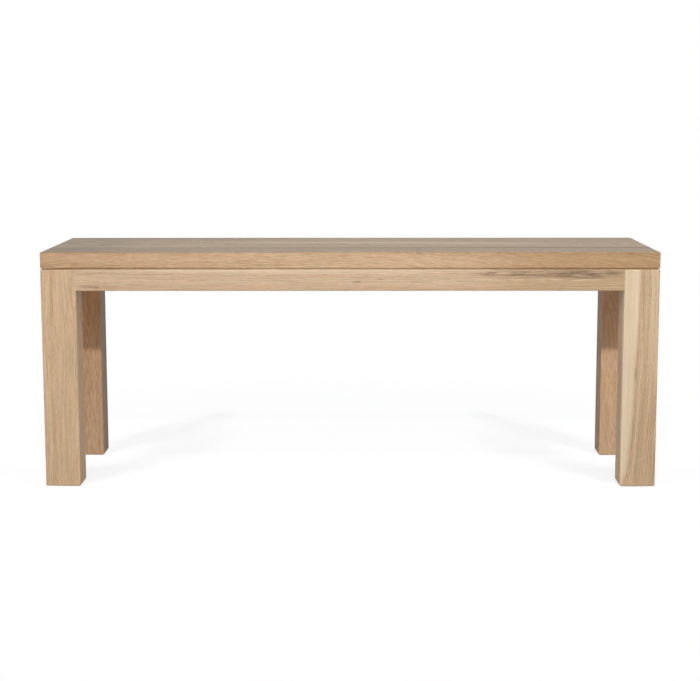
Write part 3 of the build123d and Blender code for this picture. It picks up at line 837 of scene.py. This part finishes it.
for name, sizes, material, slot, spiral in (
    ("button_screws", buttonScrews, zinc, "zinc_steel", True),
    ("brace_screws", braceScrews, zinc, "zinc_steel", True),
    ("rail_screws", railScrews, zinc, "zinc_steel", True),
    ("glide_nails", glideNails, nailSteel, "nail_steel", False),
):
    setFasteners(name, sizes, placesOf(name, sizes["headRadius"] * mm), material, spiral)


# Studio: a small frontal lamp that throws the front apron's shadow on the back legs, soft lamps round it,
# and a white floor that runs into a white background

studio = {
    "keyHeight": 28.5, "keyDistance": 3.1, "keySize": 0.12, "keyPower": 53.1, "keyAim": 0.321,
    "sidePower": 17.0, "sideTurn": 42.0, "sideHeight": 46.0, "sideDistance": 3.2, "sideSize": 0.7,
    "backPower": 220.0, "backHeight": 14.0, "backDistance": 9.0, "backSize": 3.0,
    "lowHeight": 2.0, "lowSpread": 1.2, "lowSides": 0.85, "lowBack": 0.57,
    "skyLow": 0.13, "skyHigh": 0.09, "skyTurn": (0.0, 0.6),
    "background": 1.0, "backgroundInFront": 0.35, "backgroundTurn": (-0.35, 0.35),
}


def standLamp(light, turn, height, distance, aim=0.25, glossy=True):
    # turn goes round from the front to the right, height is above the horizon, both in degrees
    turn, height = math.radians(turn), math.radians(height)
    away = Vector((math.sin(turn) * math.cos(height), -math.cos(turn) * math.cos(height), math.sin(height)))
    made = bpy.data.objects.new(light.name, light)
    made.location = Vector((0, 0, aim)) + away * distance
    made.rotation_euler = away.to_track_quat("Z", "Y").to_euler()
    made.visible_camera = False
    made.visible_glossy = glossy
    bpy.context.scene.collection.objects.link(made)


def lamp(name, power, size, turn, height, distance, aim=0.25, glossy=True):
    light = bpy.data.lights.new(name, "AREA")
    light.shape = "DISK"
    light.size = size
    light.energy = power
    standLamp(light, turn, height, distance, aim, glossy)


def farLamp(name, strength, turn, height, spread):
    # so far off that its light comes in parallel, but for a spread in degrees
    light = bpy.data.lights.new(name, "SUN")
    light.energy = strength
    light.angle = math.radians(spread)
    standLamp(light, turn, height, 9.0, glossy=False)


lamp("key", studio["keyPower"], studio["keySize"], 0.0, studio["keyHeight"], studio["keyDistance"],
     aim=studio["keyAim"], glossy=False)
for turn in (-studio["sideTurn"], studio["sideTurn"]):
    lamp("side", studio["sidePower"], studio["sideSize"], turn, studio["sideHeight"], studio["sideDistance"])
lamp("behind", studio["backPower"], studio["backSize"], 180.0, studio["backHeight"], studio["backDistance"],
     glossy=False)
# far lamps near the horizon fill the two ends and the back, and only graze the top and the floor
for turn, strength in ((-90.0, studio["lowSides"]), (90.0, studio["lowSides"]), (180.0, studio["lowBack"])):
    farLamp("low", strength, turn, studio["lowHeight"], studio["lowSpread"])


def viewed(tree):
    # 1 where the camera looks, and 1 where a reflection does; both are 0 for the light that the object gets
    camera, glossy, transmission = (
        tree.node("ShaderNodeLightPath", {}, (), ray)
        for ray in ("Is Camera Ray", "Is Glossy Ray", "Is Transmission Ray")
    )
    return camera, glossy.math("MAXIMUM", transmission)


world = bpy.data.worlds.new("studio")
world.use_nodes = True
world.node_tree.nodes.clear()
air = Tree(world.node_tree)
inCamera, inGloss = viewed(air)
way = air.node("ShaderNodeSeparateXYZ", {}, (air.node("ShaderNodeTexCoord", {}, (), "Generated"),), "Z")
wayY = Wire(air, way.socket.node.outputs["Y"])
sky = studio["skyLow"] + way.rise(*studio["skyTurn"]) * (studio["skyHigh"] - studio["skyLow"])
white, whiteInFront = studio["background"], studio["backgroundInFront"]
mirrored = whiteInFront + wayY.rise(*studio["backgroundTurn"]) * (white - whiteInFront)
strength = inCamera * white + (1 - inCamera) * (inGloss * mirrored + (1 - inGloss) * sky)
background = air.node("ShaderNodeBackground", {}, {"Color": (1.0, 1.0, 1.0, 1.0), "Strength": strength})
air.node("ShaderNodeOutputWorld", {}, {"Surface": background})
bpy.context.scene.world = world

# The floor looks white wherever the lamps reach it, and shows shadows most between the legs.
# Its patches are in metres from the middle of the bench, and inward goes in from the legs' inner faces. Each
# pair is where a patch starts to come in or fade, and where that is done.
floorLook = {
    "reach": 30.0, "drop": 0.2 * mm, "colour": 0.8, "tint": (0.95, 0.985, 1.04),
    "level": 0.551, "levelBehind": 0.421, "behind": (-0.04, 0.14), "legInside": 0.532, "outside": (0.56, 0.61),
    "frontStart": 0.148, "frontSlant": 1.75, "frontWidth": (0.05, 0.22), "frontInward": (0.14, 0.34),
    "backStart": 0.17, "backSlant": 2.0, "backWidth": (0.04, 0.16), "backInward": (0.05, 0.20),
    "betweenFront": (-0.1, 0.05), "betweenBack": (-0.05, 0.1), "betweenInward": (0.10, 0.31),
    "patchShow": 0.9, "nearShow": 0.15, "near": (0.4, 1.6),
}
reach, level = floorLook["reach"], -floorLook["drop"]  # just clear of the glides
corners = [(-reach, -reach, level), (reach, -reach, level), (reach, reach, level), (-reach, reach, level)]
floorMesh = bpy.data.meshes.new("floor")
floorMesh.from_pydata(corners, [], [(0, 1, 2, 3)])
floor = bpy.data.objects.new("floor", floorMesh)
bpy.context.scene.collection.objects.link(floor)
paper = Shader("floor")
inCamera, inGloss = viewed(paper)
seen = inCamera.math("MAXIMUM", inGloss)
spot = paper.node("ShaderNodeTexCoord", {}, (), "Object")
spotX, spotY = (paper.vector("DOT_PRODUCT", spot, way, output="Value") for way in ((1, 0, 0), (0, 1, 0)))
spotX = abs(spotX)
inward = floorLook["legInside"] - spotX
fromFront = spotY + floorLook["frontStart"] - inward * floorLook["frontSlant"]
fromBack = spotY - floorLook["backStart"] - inward * floorLook["backSlant"]
frontPatch = ((1 - abs(fromFront).rise(*floorLook["frontWidth"]))
              * (1 - inward.rise(*floorLook["frontInward"])))
backPatch = ((1 - abs(fromBack).rise(*floorLook["backWidth"]))
             * (1 - inward.rise(*floorLook["backInward"])))
between = (fromFront.rise(*floorLook["betweenFront"]) * (1 - fromBack.rise(*floorLook["betweenBack"]))
           * (1 - inward.rise(*floorLook["betweenInward"])))
patch = frontPatch.math("MAXIMUM", backPatch).math("MAXIMUM", between) * (1 - spotX.rise(*floorLook["outside"]))
around = 1 - (spotX * spotX + spotY * spotY).rise(*floorLook["near"])
show = (patch * floorLook["patchShow"]).math("MAXIMUM", around * floorLook["nearShow"])
base = floorLook["colour"] * (1 - seen * (1 - show))
behind = spotY.rise(*floorLook["behind"])
lit = floorLook["level"] + behind * (floorLook["levelBehind"] - floorLook["level"])
glow = seen * (1 - show * lit)
surface = paper.node("ShaderNodeBsdfPrincipled", {}, {
    "Base Color": paper.point(*(base * share for share in floorLook["tint"])),
    "Roughness": 1.0, "Specular IOR Level": 0.0,
    "Emission Color": paper.point(glow, glow, glow), "Emission Strength": 1.0,
})
paper.node("ShaderNodeOutputMaterial", {}, {"Surface": surface})
floorMesh.materials.append(paper.material)

# Camera, fitted to the photograph: millimetres and degrees
cameraLook = {"sensor": 36.0, "lens": 82.435, "place": (27.2, -3264.6, 739.0),
              "turn": 0.4960, "down": 8.2555, "roll": -0.0715}
cameraData = bpy.data.cameras.new("camera")
cameraData.sensor_width = cameraLook["sensor"]
cameraData.lens = cameraLook["lens"]
camera = bpy.data.objects.new("camera", cameraData)
camera.matrix_world = (
    Matrix.Translation(Vector(cameraLook["place"]) * mm)
    @ Matrix.Rotation(math.radians(cameraLook["turn"]), 4, "Z")
    @ Matrix.Rotation(math.radians(90 - cameraLook["down"]), 4, "X")
    @ Matrix.Rotation(math.radians(cameraLook["roll"]), 4, "Z")
)
bpy.context.scene.collection.objects.link(camera)
bpy.context.scene.camera = camera
bpy.context.scene.view_settings.view_transform = "Standard"
print("studio and camera stand")
